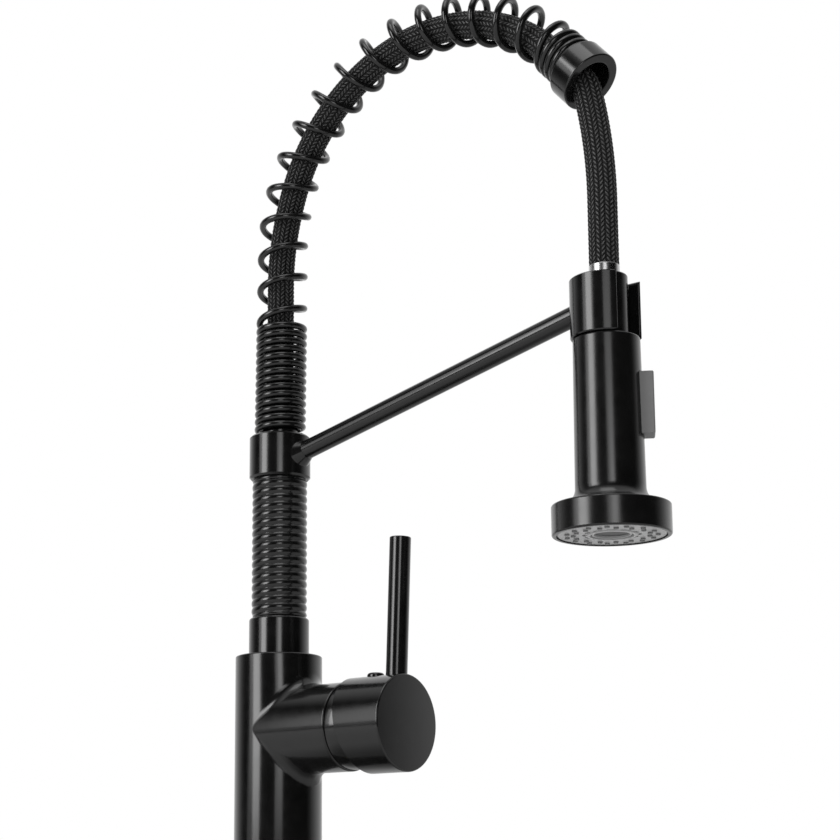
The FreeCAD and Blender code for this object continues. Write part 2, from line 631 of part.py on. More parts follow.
# Clip: an open ring that the spray head's neck slides up into
arm_end_z = riser_top + ARM_START + REACH * math.tan(slope)
clip_top = arm_end_z + CLIP_ABOVE_ARM
clip_bottom = clip_top - CLIP_HEIGHT
spray_axis = V(0, -REACH, 0)
clip = turned([(CLIP_BORE_R, clip_bottom), (CLIP_R - CLIP_EDGE, clip_bottom),
               (CLIP_R, clip_bottom + CLIP_EDGE), (CLIP_R, clip_top - CLIP_EDGE),
               (CLIP_R - CLIP_EDGE, clip_top), (CLIP_BORE_R, clip_top)], spray_axis)
slot_half = CLIP_SLOT / 2
slot_side = slot_half + LIP_ROUNDING + PAST
under_clip = clip_bottom - PAST
over_clip = clip_top + PAST
mouth = outline([(-slot_side, under_clip), (slot_side, under_clip), (slot_side, clip_bottom),
                 (slot_half, clip_bottom, LIP_ROUNDING), (slot_half, clip_top, LIP_ROUNDING),
                 (slot_side, clip_top), (slot_side, over_clip), (-slot_side, over_clip),
                 (-slot_side, clip_top), (-slot_half, clip_top, LIP_ROUNDING),
                 (-slot_half, clip_bottom, LIP_ROUNDING), (-slot_side, clip_bottom)])
clip = clip.cut(block(slot_half, -REACH - CLIP_R - PAST, -REACH, under_clip, over_clip))
lips = [edge for edge in clip.Edges if "Line" in edge.Curve.TypeId and edge.Length > CLIP_HEIGHT / 2
        and abs(abs(edge.CenterOfMass.x) - slot_half) < 0.01]
clip = clip.makeFillet(LIP_EDGE, lips)
clip = clip.cut(Part.Face(mouth).extrude(OUT * (CLIP_R + PAST)).translated(spray_axis))
save("holder_clip", clip.cut(arm_socket))

# Routes in the plane x = 0. The spring leans up from the collar, goes over the arch and down to its end ring
arch_turn = math.radians(ARCH_TURN)
lean = math.radians(SPRING_LEAN)
across = REACH - RING_OFFSET - RING_RUN * math.sin(arch_turn) - SPRING_RISE * math.sin(lean)
arch_r = across / (math.cos(lean) - math.cos(arch_turn))
arch_y = -SPRING_RISE * math.sin(lean) - arch_r * math.cos(lean)
arch_z = collar_top + SPRING_RISE * math.cos(lean) - arch_r * math.sin(lean)
SPRING_ROUTE = [(SPRING_RISE, 0), (arch_r * (arch_turn - lean), arch_turn - lean), (RING_RUN, 0)]
spring_length = sum(length for length, _ in SPRING_ROUTE) - RING_LENGTH


def along(route, distance, heading=0):
    """Place, direction and inward normal on a route of (length, turn) stretches that starts on the collar."""
    place = UP * collar_top
    for number, (length, turn) in enumerate(route):
        last = number == len(route) - 1
        step = distance if last else min(distance, length)
        bend = turn * step / length
        chord = step * math.sin(bend / 2) / (bend / 2) if abs(bend) > 1e-9 else step
        middle = heading + bend / 2
        place = place + V(0, -math.sin(middle), math.cos(middle)) * chord
        heading += bend
        distance -= step
    return place, V(0, -math.sin(heading), math.cos(heading)), V(0, -math.cos(heading), -math.sin(heading))


ring_front, down_slope, _ = along(SPRING_ROUTE, spring_length + RING_LENGTH, lean)
ring_half = RING_LENGTH - SEAT
end_ring = turned([(RING_BORE_R, -ring_half), (RING_R, -ring_half, RING_EDGE), (RING_R, 0, RING_EDGE),
                   (RING_BORE_R, 0, RING_EDGE)], ring_front, down_slope)
save("spring_end_ring", end_ring)

# Spring: tight turns on the collar, wide ones over the arch, tight ones against the end ring
coil_centre_r = COIL_R - WIRE_R
tight_pitch = 2 * WIRE_R + WIRE_GAP
coil_length = spring_length - 2 * (WIRE_R + SEAT)
first_open_length = (coil_length - (LOWER_TIGHT_TURNS + UPPER_TIGHT_TURNS) * tight_pitch
                     - LAST_OPEN_TURNS * LAST_OPEN_PITCH)
STRETCHES = [(LOWER_TIGHT_TURNS, tight_pitch), (FIRST_OPEN_TURNS, first_open_length / FIRST_OPEN_TURNS),
             (LAST_OPEN_TURNS, LAST_OPEN_PITCH), (UPPER_TIGHT_TURNS, tight_pitch)]
coil_turns = sum(turns for turns, _ in STRETCHES)


def climb(turns):
    """Distance along the route after a number of turns."""
    distance = WIRE_R + SEAT
    for count, pitch in STRETCHES:
        here = min(turns, count)
        distance += here * pitch
        turns -= here
    return distance


def on_coil(turns):
    """Middle of the wire after a number of turns."""
    place, _, inward = along(SPRING_ROUTE, climb(turns), lean)
    angle = math.radians(COIL_START_ANGLE) + 2 * math.pi * turns
    return place + (inward * math.cos(angle) + RIGHT * math.sin(angle)) * coil_centre_r


def coil_direction(turns):
    """Direction of the wire, from its middle an eighth of a turn either way."""
    step = 1 / 16
    before = max(turns - step, 0)
    after = min(turns + step, coil_turns)
    return (on_coil(after) - on_coil(before)).normalize()


def arc_between(start, apex, end):
    """Arc from start to end whose end tangents meet at apex."""
    middle = (start + end) / 2
    angle = (apex - start).getAngle(end - start)
    return Part.Arc(start, middle + (apex - middle) * (math.tan(angle / 2) / math.tan(angle)), end).toShape()


def biarc(start, start_direction, end, end_direction):
    """Two arcs that join start to end and leave both along the given directions."""
    span = end - start
    total = start_direction + end_direction
    bend = 2 * (1 - start_direction.dot(end_direction))
    forward = span.dot(total)
    leg = (-forward + math.sqrt(forward ** 2 + bend * span.dot(span))) / bend
    first = start + start_direction * leg
    second = end - end_direction * leg
    joint = (first + second) / 2
    return [arc_between(start, first, joint), arc_between(joint, second, end)]


quarters = round(coil_turns * 4)
stations = [coil_turns * k / quarters for k in range(quarters + 1)]
coil_edges = []
for before, after in zip(stations, stations[1:]):
    coil_edges += biarc(on_coil(before), coil_direction(before), on_coil(after), coil_direction(after))
coil_start = on_coil(0)
coil_end = on_coil(coil_turns)
lead = coil_direction(0) * 2 * WIRE_R
tail = coil_direction(coil_turns) * 2 * WIRE_R
coil_edges.insert(0, Part.LineSegment(coil_start - lead, coil_start).toShape())
coil_edges.append(Part.LineSegment(coil_end, coil_end + tail).toShape())
spine = Part.Wire(coil_edges)
section = Part.Wire(Part.Circle(coil_start - lead, coil_direction(0), WIRE_R).toShape())
save("spring", spine.makePipeShell([section], True, False))
print(f"spring: {coil_turns:.1f} turns, wire {spine.Length:.0f} mm long")

POINTS_PER_TURN = 48
half_turn = POINTS_PER_TURN // 2
points = [on_coil(k / POINTS_PER_TURN) for k in range(int(coil_turns * POINTS_PER_TURN))]
least = min(points[i].distanceToPoint(points[j]) for i in range(len(points))
            for j in range(i + half_turn, min(i + 3 * half_turn, len(points))))
print(f"spring: least gap to itself {least - 2 * WIRE_R:.2f} mm")

# Hose: straight up, along the inside of the spring's arch, round the ring's rim and down to where it hangs
hose_start = spigot_bottom + INLET_SINK + INLET_FITTING_LENGTH
hose_arch_r = arch_r - HOSE_INSIDE
entry_r = HOSE_ENTRY_RATIO * arch_r
entry_rise = math.sqrt((entry_r - hose_arch_r) ** 2 - (entry_r + arch_y) ** 2)
entry_turn = math.atan2(entry_rise, entry_r + arch_y)
rim_turn = math.radians(RIM_BEND)
rim_heading = arch_turn + rim_turn
drop_turn = math.pi - rim_heading
bends_across = (RIM_BEND_R * (math.cos(arch_turn) - math.cos(rim_heading))
                + DROP_BEND_R * (math.cos(rim_heading) + 1))
hose_run = (REACH + arch_y + hose_arch_r * math.cos(arch_turn) - bends_across) / math.sin(arch_turn)
HOSE_ROUTE = [(arch_z - entry_rise - collar_top, 0), (entry_r * entry_turn, entry_turn),
              (hose_arch_r * (arch_turn - entry_turn), arch_turn - entry_turn), (hose_run, 0),
              (RIM_BEND_R * rim_turn, rim_turn), (DROP_BEND_R * drop_turn, drop_turn)]
hose_edges = [Part.LineSegment(UP * hose_start, UP * collar_top).toShape()]
covered = 0
for length, turn in HOSE_ROUTE:
    start, middle, end = [along(HOSE_ROUTE, covered + length * share)[0] for share in (0, 0.5, 1)]
    hose_edges.append((Part.Arc(start, middle, end) if turn else Part.LineSegment(start, end)).toShape())
    covered += length
hang_top = along(HOSE_ROUTE, covered)[0]
hose_route = Part.Wire(hose_edges)
hose_section = Part.Wire(Part.Circle(UP * hose_start, UP, HOSE_R).toShape())
hose_arch = hose_route.makePipeShell([hose_section], True, False)
save("hose_arch", hose_arch)
hose_share = hose_arch.Volume / (math.pi * HOSE_R ** 2 * hose_route.Length)
print(f"hose: radii {entry_r:.0f}, {hose_arch_r:.1f}, {RIM_BEND_R:.0f} and {DROP_BEND_R:.0f} mm, "
      f"hangs from z {hang_top.z:.4f}")
print(f"hose: route {hose_route.Length:.0f} mm, volume over section times length {hose_share:.4f}")
save("hose_inlet_fitting", tube(SPIGOT_BORE_R - SEAT, HOSE_BORE_R, spigot_bottom + INLET_SINK, hose_start))

neck_top = clip_top + NECK_ABOVE_CLIP
ferrule_top = neck_top + FERRULE_ABOVE_NECK
save("hose_drop", rod(HOSE_R, ferrule_top, hang_top.z, spray_axis))
print(f"hose: straight drop {hang_top.z - ferrule_top:.0f} mm, "
      f"whole hose {hose_route.Length + hang_top.z - ferrule_top:.0f} mm")

# Hose end, free to turn in the spray head's neck
ferrule_bottom = ferrule_top - FERRULE_LENGTH
hose_nut_top = ferrule_bottom
hose_nut_bottom = hose_nut_top - HOSE_NUT_HEIGHT
hose_washer_bottom = hose_nut_bottom - HOSE_WASHER_HEIGHT
save("hose_ferrule", turned([(HOSE_BORE_R, ferrule_bottom), (FERRULE_R, ferrule_bottom),
                             (FERRULE_R, ferrule_top, FERRULE_EDGE), (HOSE_BORE_R, ferrule_top)], spray_axis))
save("hose_nut", tube(HOSE_NUT_R, HOSE_BORE_R, hose_nut_bottom, hose_nut_top, spray_axis))
hose_washer_r = HOSE_NUT_R - HOSE_NUT_PLAY
save("hose_washer", tube(hose_washer_r, HOSE_BORE_R, hose_washer_bottom, hose_nut_bottom, spray_axis))

# Spray head, built round its own axis and then turned so that its button faces where it should
shoulder_z = clip_bottom - GAP
flange_top = shoulder_z - GRIP_HEIGHT
flange_bottom = flange_top - FLANGE_HEIGHT
face_z = flange_bottom + INSERT_RECESS
insert_r = FLANGE_R - FLANGE_RIM
grip_bore_r = GRIP_R - GRIP_WALL
neck_bore_r = HOSE_NUT_R + HOSE_NUT_PLAY
throat_r = FERRULE_R + GAP
roof_z = flange_top - FLANGE_ROOF
cavity_top = shoulder_z - CAVITY_ROOF
button_z = shoulder_z - BUTTON_MIDDLE


def on_head(shape):
    """The shape turned with the spray head and set on its axis."""
    copy = shape.copy()
    copy.rotate(V(0, 0, 0), UP, BUTTON_TURN)
    copy.translate(spray_axis)
    return copy


shell = turned([(throat_r, neck_top), (throat_r, hose_nut_top + GAP), (neck_bore_r, hose_nut_top + GAP),
                (neck_bore_r, cavity_top), (grip_bore_r, cavity_top), (grip_bore_r, roof_z),
                (insert_r, roof_z), (insert_r, flange_bottom), (FLANGE_R, flange_bottom, FLANGE_EDGE),
                (FLANGE_R, flange_top, FLANGE_EDGE), (GRIP_R, flange_top, FLARE_R),
                (SHOULDER_R, shoulder_z, SHOULDER_EDGE), (NECK_R, shoulder_z), (NECK_R, neck_top, NECK_EDGE)])
window_half = BUTTON_WIDTH / 2 + GAP
window_height = BUTTON_HEIGHT / 2 + WINDOW_PLAY
window = block(window_half, -BUTTON_FACE - PAST, -grip_bore_r / 2,
               button_z - window_height, button_z + window_height)
pin_place = V(0, -BUTTON_PIN_PLACE, button_z)
button_pin_half = math.sqrt(SHOULDER_R ** 2 - (BUTTON_PIN_PLACE + BUTTON_PIN_R) ** 2) - BUTTON_PIN_COVER
pin_hole = rod(BUTTON_PIN_R + PIN_PLAY, -button_pin_half - SEAT, button_pin_half + SEAT, pin_place, RIGHT)
shell = shell.cut(window).cut(pin_hole)
save("spray_shell", on_head(shell))
save("button_pin", on_head(rod(BUTTON_PIN_R, -button_pin_half, button_pin_half, pin_place, RIGHT)))

# Button: a flat paddle that rocks on its pin, with a finger that reaches the spool
button_back = BUTTON_FACE - BUTTON_DEPTH
paddle = block(BUTTON_WIDTH / 2, -BUTTON_FACE, -button_back, button_z - BUTTON_HEIGHT / 2,
               button_z + BUTTON_HEIGHT / 2)
face_edges = [edge for edge in paddle.Edges if abs(edge.CenterOfMass.y + BUTTON_FACE) < 0.01]
paddle = paddle.makeFillet(BUTTON_CORNER, face_edges)
hub = rod(BUTTON_PIN_R + BUTTON_HUB_WALL, -window_half + 2 * GAP, window_half - 2 * GAP, pin_place, RIGHT)
finger = block(FINGER_WIDTH / 2, -button_back - PAST, -FINGER_TIP,
               button_z - FINGER_HALF, button_z + FINGER_HALF)
button = paddle.fuse([hub, finger]).cut(rod(BUTTON_PIN_R + SEAT, -COLUMN_R, COLUMN_R, pin_place, RIGHT))
save("spray_button", on_head(button))

spool_bottom = button_z - SPOOL_HEIGHT / 2
spool_top = button_z + SPOOL_HEIGHT / 2
waist_bottom = button_z - FINGER_HALF - SPOOL_PLAY
waist_top = button_z + FINGER_HALF + SPOOL_PLAY
spool = turned([(0, spool_bottom), (SPOOL_R, spool_bottom), (SPOOL_R, waist_bottom),
                (SPOOL_WAIST_R, waist_bottom), (SPOOL_WAIST_R, waist_top), (SPOOL_R, waist_top),
                (SPOOL_R, spool_top), (0, spool_top)])
save("diverter_spool", on_head(spool))

core_foot = flange_bottom + CORE_FOOT
core_top = hose_washer_bottom - GAP
core = turned([(SPOOL_R + SEAT, core_foot), (CORE_R, core_foot), (CORE_R, cavity_top - GAP),
               (hose_washer_r, cavity_top - GAP), (hose_washer_r, core_top), (SPOOL_R + SEAT, core_top)])
finger_window = block(FINGER_WIDTH / 2 + GAP, -CORE_R - PAST, 0, button_z - CORE_WINDOW / 2,
                      button_z + CORE_WINDOW / 2)
save("spray_core", on_head(core.cut(finger_window)))

# Spray face: a pale plate with a raised ring, rubber nozzles through it and an aerator in its middle
insert_back = face_z + INSERT_THICKNESS
aerator_bore = AERATOR_R + SEAT
ring_inner = FACE_RING_R - FACE_RING_WIDTH
hub_r = grip_bore_r - GAP
groove_floor = face_z + FACE_GROOVE_DEPTH
rim_r = insert_r - FACE_RIM_GAP
face = turned([(0, face_z + AERATOR_DEPTH), (aerator_bore, face_z + AERATOR_DEPTH), (aerator_bore, face_z),
               (ring_inner - FACE_GROOVE_WIDTH, face_z), (ring_inner - FACE_GROOVE_WIDTH, groove_floor),
               (ring_inner, groove_floor), (ring_inner, face_z - FACE_RING_RISE),
               (FACE_RING_R, face_z - FACE_RING_RISE, FACE_EDGE), (FACE_RING_R, face_z),
               (rim_r, face_z, FACE_EDGE), (rim_r, face_z + FACE_RIM_DEPTH),
               (insert_r - SEAT, face_z + FACE_RIM_DEPTH), (insert_r - SEAT, insert_back),
               (hub_r, insert_back), (hub_r, core_foot - GAP), (SPOOL_R, core_foot - GAP),
               (SPOOL_R, insert_back + GUIDE_RISE), (0, insert_back + GUIDE_RISE)])
slot_tube = tube(FACE_SLOT_R + FACE_SLOT_WIDTH / 2, FACE_SLOT_R - FACE_SLOT_WIDTH / 2, face_z - PAST,
                 face_z + FACE_SLOT_DEPTH)
slot_half = FACE_SLOT_R * math.tan(math.pi / FACE_SLOT_COUNT) * FACE_SLOT_SHARE
for k in range(FACE_SLOT_COUNT):
    sector = block(slot_half, -FACE_SLOT_R - FACE_SLOT_WIDTH, -FACE_SLOT_R + FACE_SLOT_WIDTH, face_z - PAST,
                   face_z + FACE_SLOT_DEPTH)
    sector.rotate(V(0, 0, 0), UP, 360 * k / FACE_SLOT_COUNT)
    face = face.cut(slot_tube.common(sector))
mat = tube(insert_r - 2 * GAP, hub_r + GAP, insert_back + SEAT, insert_back + SEAT + MAT_THICKNESS)
for row in range(NOZZLE_ROWS):
    row_r = NOZZLE_ROW_R - row * NOZZLE_ROW_STEP
    for k in range(NOZZLES_PER_ROW):
        angle = 2 * math.pi * (k + row / NOZZLE_ROWS) / NOZZLES_PER_ROW
        foot = V(row_r * math.sin(angle), -row_r * math.cos(angle), 0)
        face = face.cut(rod(NOZZLE_R + SEAT, face_z - PAST, insert_back + PAST, foot))
        mat = mat.fuse(rod(NOZZLE_R, face_z - NOZZLE_RISE, insert_back + SEAT + MAT_THICKNESS / 2, foot))
save("spray_insert", on_head(face))
save("nozzle_mat", on_head(mat))
save("aerator_disc", rod(AERATOR_R, face_z + AERATOR_DEPTH - AERATOR_THICKNESS, face_z + AERATOR_DEPTH - SEAT,
                         spray_axis))
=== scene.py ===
# %% [markdown]
# A satin black kitchen mixer, seen from low down against white. The solid parts arrive finished from the
# CAD program, so this lesson gives them their surfaces and replaces the few that need finer form: the
# ribbed riser, the wound spring and the braided hose.

# %% Load the mixer
import json
import math

import bpy
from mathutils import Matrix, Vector


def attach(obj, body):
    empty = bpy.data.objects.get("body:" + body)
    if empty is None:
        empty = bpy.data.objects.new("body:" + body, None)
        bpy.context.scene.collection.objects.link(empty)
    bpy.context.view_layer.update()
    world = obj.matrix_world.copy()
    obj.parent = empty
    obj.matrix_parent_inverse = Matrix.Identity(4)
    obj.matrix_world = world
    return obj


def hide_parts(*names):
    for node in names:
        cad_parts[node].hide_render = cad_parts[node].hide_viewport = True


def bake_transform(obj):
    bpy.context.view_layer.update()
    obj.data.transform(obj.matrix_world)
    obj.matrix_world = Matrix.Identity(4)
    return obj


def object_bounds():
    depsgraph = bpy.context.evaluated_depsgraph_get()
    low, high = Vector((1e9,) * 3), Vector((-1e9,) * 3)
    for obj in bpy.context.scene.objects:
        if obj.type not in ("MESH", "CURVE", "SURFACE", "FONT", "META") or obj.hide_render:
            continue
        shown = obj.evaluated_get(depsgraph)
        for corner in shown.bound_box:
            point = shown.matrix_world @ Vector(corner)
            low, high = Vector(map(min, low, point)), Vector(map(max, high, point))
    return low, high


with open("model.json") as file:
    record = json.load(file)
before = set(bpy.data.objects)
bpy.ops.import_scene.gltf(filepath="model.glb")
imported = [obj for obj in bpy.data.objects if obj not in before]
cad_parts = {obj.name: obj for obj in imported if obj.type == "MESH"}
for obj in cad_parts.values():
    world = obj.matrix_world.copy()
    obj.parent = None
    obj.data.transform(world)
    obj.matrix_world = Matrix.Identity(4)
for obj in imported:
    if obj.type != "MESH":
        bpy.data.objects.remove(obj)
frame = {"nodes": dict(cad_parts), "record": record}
cad_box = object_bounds()
nodes = frame["nodes"]
tall = cad_box[1].z - cad_box[0].z
print(f"{len(nodes)} parts, {tall:.3f} m from the shank's end to the top of the spring")

# %% [markdown]
# The camera stood low and looked up, a little left of the knob. The vertical edges of the column and the
# spray head lean together in the picture, which gives the pitch, and the widths of the near and far parts
# give the distance. A lens shift keeps the picture's crop without turning the camera.

# %% Camera
PICTURE = 840
PITCH = 11.02
FOCAL_PIXELS = 1890.1
CENTRE_X, CENTRE_Y = 331.5, 530.8
SENSOR = 36.0
toward = Vector((0.7707, 0.6372, 0)).normalized()
rightward = Vector((toward.y, -toward.x, 0))

lens = bpy.data.cameras.new("camera")
lens.sensor_width = SENSOR
lens.lens = FOCAL_PIXELS / PICTURE * SENSOR
lens.shift_x = 0.5 - CENTRE_X / PICTURE
lens.shift_y = CENTRE_Y / PICTURE - 0.5
lens.clip_start = 0.05
camera = bpy.data.objects.new("camera", lens)
camera.location = (-0.7359, -0.6439, 0.0265)
look = toward * math.cos(math.radians(PITCH)) + Vector((0, 0, math.sin(math.radians(PITCH))))
camera.rotation_euler = look.to_track_quat("-Z", "Y").to_euler()
bpy.context.scene.collection.objects.link(camera)
bpy.context.scene.camera = camera
print(f"camera {camera.location.length:.2f} m from the foot, lens {lens.lens:.1f} mm")

# %% [markdown]
# A product studio is mostly what a glossy part reflects. Behind the mixer hangs white paper that wraps a
# little to the right, a ceiling slightly darker than the paper closes the room above, and behind the camera
# it is dark. The world holds that room: where the camera itself looks it is plain white, a reflection sees
# the paper, the ceiling or the dark, and rough surfaces get an even soft light.

# %% Studio room
PAPER_TURN = 8.0
PAPER_FROM, PAPER_TO = -0.05, 0.75
CEILING_FROM, CEILING_TO, CEILING = 0.6, 0.85, 0.8
DARK, AMBIENT = 0.0, 0.55

scene = bpy.context.scene
scene.view_settings.view_transform = "Standard"
world = bpy.data.worlds.new("studio")
scene.world = world
world.use_nodes = True
world.cycles.sampling_method = "NONE"
tree = world.node_tree
tree.nodes.clear()


def add(tree, kind, **settings):
    """A node of a kind with its settings."""
    node = tree.nodes.new(kind)
    for name, value in settings.items():
        setattr(node, name, value)
    return node


def maths(tree, operation, first, second=None, third=None):
    """A math node; each input is a number or another node's output."""
    node = add(tree, "ShaderNodeMath", operation=operation)
    for socket, value in zip(node.inputs, (first, second, third)):
        if value is None:
            continue
        if isinstance(value, (int, float)):
            socket.default_value = value
        else:
            tree.links.new(value, socket)
    return node.outputs[0]


def ranged(tree, value, reads, gives, ease="SMOOTHSTEP"):
    """The value, taken from one range to another: reads and gives are each a pair of ends."""
    node = add(tree, "ShaderNodeMapRange", interpolation_type=ease)
    tree.links.new(value, node.inputs["Value"])
    node.inputs["From Min"].default_value, node.inputs["From Max"].default_value = reads
    node.inputs["To Min"].default_value, node.inputs["To Max"].default_value = gives
    return node.outputs["Result"]


paper_turn = math.radians(PAPER_TURN)
paper_middle = toward * math.cos(paper_turn) + rightward * math.sin(paper_turn)
direction = add(tree, "ShaderNodeTexCoord")
facing = add(tree, "ShaderNodeVectorMath", operation="DOT_PRODUCT")
tree.links.new(direction.outputs["Generated"], facing.inputs[0])
facing.inputs[1].default_value = paper_middle
paper = ranged(tree, facing.outputs["Value"], (PAPER_FROM, PAPER_TO), (DARK, 1.0))
up = add(tree, "ShaderNodeSeparateXYZ")
tree.links.new(direction.outputs["Generated"], up.inputs[0])
ceiling = ranged(tree, up.outputs["Z"], (CEILING_FROM, CEILING_TO), (DARK, CEILING))
ray = add(tree, "ShaderNodeLightPath")
mirrored = maths(tree, "MAXIMUM", ray.outputs["Is Glossy Ray"], ray.outputs["Is Transmission Ray"])
soft = maths(tree, "MULTIPLY_ADD", mirrored, -AMBIENT, AMBIENT)
room = maths(tree, "MAXIMUM", paper, ceiling)
level = maths(tree, "MULTIPLY_ADD", room, mirrored, soft)
level = maths(tree, "MAXIMUM", level, ray.outputs["Is Camera Ray"])
sky = add(tree, "ShaderNodeBackground")
sky.inputs["Color"].default_value = (1, 1, 1, 1)
tree.links.new(level, sky.inputs["Strength"])
tree.links.new(sky.outputs[0], add(tree, "ShaderNodeOutputWorld").inputs["Surface"])
print("white paper behind, ceiling", CEILING, "above, dark room in front, soft light", AMBIENT)

# %% [markdown]
# Two soft boxes draw the two upright bands of light that run down every round part. One stands far to the
# left, so its band sits halfway to the left edge. The other stands behind the camera and puts its band in the
# middle. Each has a wider, dimmer glow round it, which softens the band's edges as the cloth of a real box
# does. A low dim strip fills the dark gap under the left box, and a box overhead lights the upper edges.

# %% Soft boxes
MIDDLE = Vector((0, -0.1, 0.3))


def soft_box(name, angle, distance, width, height, power, rise):
    """A tall lamp, an angle to the left of the camera's place, that faces the mixer."""
    turn = math.radians(angle)
    out = -toward * math.cos(turn) - rightward * math.sin(turn)
    place = MIDDLE + out * distance + Vector((0, 0, rise))
    lamp = bpy.data.lights.new(name, "AREA")
    lamp.shape = "RECTANGLE"
    lamp.size, lamp.size_y, lamp.energy = width, height, power
    box = bpy.data.objects.new(name, lamp)
    box.location = place
    box.rotation_euler = (MIDDLE - place).to_track_quat("-Z", "Y").to_euler()
    scene.collection.objects.link(box)
    print(f"{name}: {width} by {height} m, {power} W")


soft_box("left_box", 61.5, 3, 1.04, 1.88, 33, rise=0.76)
soft_box("left_glow", 65, 3, 1.97, 1.9, 25, rise=0.9)
soft_box("left_low", 79, 3, 0.95, 0.35, 0.65, rise=-0.165)
soft_box("camera_box", -1, 1.7, 0.32, 0.42, 1.1, rise=0.15)
soft_box("camera_glow", 1, 1.7, 0.64, 0.8, 3.2, rise=0.22)
soft_box("top_box", 20, 0.5, 0.8, 0.8, 4, rise=1.5)

# %% [markdown]
# No real surface has one even colour, so each finish below varies its colour, its gloss and its relief a
# little. These helpers build that from noise textures: large blotches for colour and gloss, a fine grain for
# the relief.

# %% Material helpers
RAMP_ENDS = (0.3, 0.7)
BLOTCH_SIZE = 12
NOISE_DETAIL = 3.0


def finish_of(name, metallic=0.0):
    """A new material; returns it, its node tree and its surface shader."""
    material = bpy.data.materials.new(name)
    material.use_nodes = True
    shader = material.node_tree.nodes["Principled BSDF"]
    shader.inputs["Metallic"].default_value = metallic
    return material, material.node_tree, shader


def mottled(tree, scale):
    """Soft blotches from 0 to 1 over the part; scale is blotches per metre."""
    place = add(tree, "ShaderNodeTexCoord")
    noise = add(tree, "ShaderNodeTexNoise")
    tree.links.new(place.outputs["Object"], noise.inputs["Vector"])
    noise.inputs["Scale"].default_value = scale
    noise.inputs["Detail"].default_value = NOISE_DETAIL
    return noise.outputs[0]


def between(tree, factor, low, high):
    """A colour ramp from low to high; a plain number means grey."""
    ramp = add(tree, "ShaderNodeValToRGB")
    for element, colour in zip(ramp.color_ramp.elements, (low, high)):
        if isinstance(colour, float):
            colour = (colour, colour, colour)
        element.color = (*colour, 1)
    for element, position in zip(ramp.color_ramp.elements, RAMP_ENDS):
        element.position = position
    tree.links.new(factor, ramp.inputs[0])
    return ramp.outputs[0]


def span(tree, factor, low, high):
    """A number that runs from low to high with the factor."""
    return ranged(tree, factor, RAMP_ENDS, (low, high), ease="LINEAR")


def raised(tree, shader, height, depth):
    """Relief of a depth in metres on the shader."""
    bump = add(tree, "ShaderNodeBump")
    bump.inputs["Distance"].default_value = depth
    bump.inputs["Strength"].default_value = 1.0
    tree.links.new(height, bump.inputs["Height"])
    tree.links.new(bump.outputs[0], shader.inputs["Normal"])
    return bump


def plain_finish(name, low, high, rough, grain, relief):
    """A finish whose colour, gloss and surface vary a little, as on a real part."""
    material, tree, shader = finish_of(name)
    blotches = mottled(tree, grain / BLOTCH_SIZE)
    tree.links.new(between(tree, blotches, low, high), shader.inputs["Base Color"])
    tree.links.new(span(tree, blotches, *rough), shader.inputs["Roughness"])
    raised(tree, shader, mottled(tree, grain), relief)
    return material


print("blotches", BLOTCH_SIZE, "times as coarse as the grain")

# %% [markdown]
# The mixer stands on a plain pale floor. The photograph never sees it, but it throws soft light up at the
# spray face and it carries the object in the other views. Round the foot its colour is painted darker, a
# painted shadow, so that the undersides reflect something dark, as they do in the photograph.

# %% Floor
FLOOR_SIZE, FLOOR_GAP = 3.0, 0.0005
PAINTED_SHADOW_ENDS, PAINTED_SHADOW_LEVEL = (0.05, 0.2), 0.3
floor_mesh = bpy.data.meshes.new("floor")
half = FLOOR_SIZE / 2
floor_corners = [(-half, -half, 0), (half, -half, 0), (half, half, 0), (-half, half, 0)]
floor_mesh.from_pydata(floor_corners, [], [(0, 1, 2, 3)])
floor = bpy.data.objects.new("floor", floor_mesh)
floor.location.z = cad_box[0].z - FLOOR_GAP
scene.collection.objects.link(floor)

pale = plain_finish("pale_floor_painted_shadow", 0.78, 0.82, (0.6, 0.7), grain=60, relief=0.0001)
tree = pale.node_tree
shader = tree.nodes["Principled BSDF"]
# Painted shadow: the floor's colour is darkened round the foot, to 0.3 within 5 cm and back to full at 20 cm.
away = add(tree, "ShaderNodeVectorMath", operation="LENGTH")
tree.links.new(add(tree, "ShaderNodeTexCoord").outputs["Object"], away.inputs[0])
near = ranged(tree, away.outputs["Value"], PAINTED_SHADOW_ENDS, (PAINTED_SHADOW_LEVEL, 1.0))
shade = add(tree, "ShaderNodeVectorMath", operation="SCALE")
tree.links.new(shader.inputs["Base Color"].links[0].from_socket, shade.inputs[0])
tree.links.new(near, shade.inputs["Scale"])
tree.links.new(shade.outputs[0], shader.inputs["Base Color"])
floor_mesh.materials.append(pale)
print("floor at", round(floor.location.z, 4))

# %% [markdown]
# Satin black paint on metal is nearly black in itself, and all that one sees is its soft reflection. It gets
# a faint orange peel, as paint has from droplets that ran together. The photograph is too coarse to show one.
# The spray shell is a shade less glossy. The knob's flat end is shaded as if it were slightly domed, because
# the photograph shows its reflection change from one side to the other.

# %% Satin black
SATIN_ROUGH, SHELL_ROUGH = (0.14, 0.17), (0.18, 0.22)
KNOB_MIDDLE, CROWN_R = 0.1111, 0.36


def satin(name, rough):
    """Satin black paint with a faint orange peel."""
    return plain_finish(name, 0.004, 0.006, rough, grain=1600, relief=0.0000008)


satin_black = satin("satin_black", SATIN_ROUGH)
shell_black = satin("shell_black", SHELL_ROUGH)


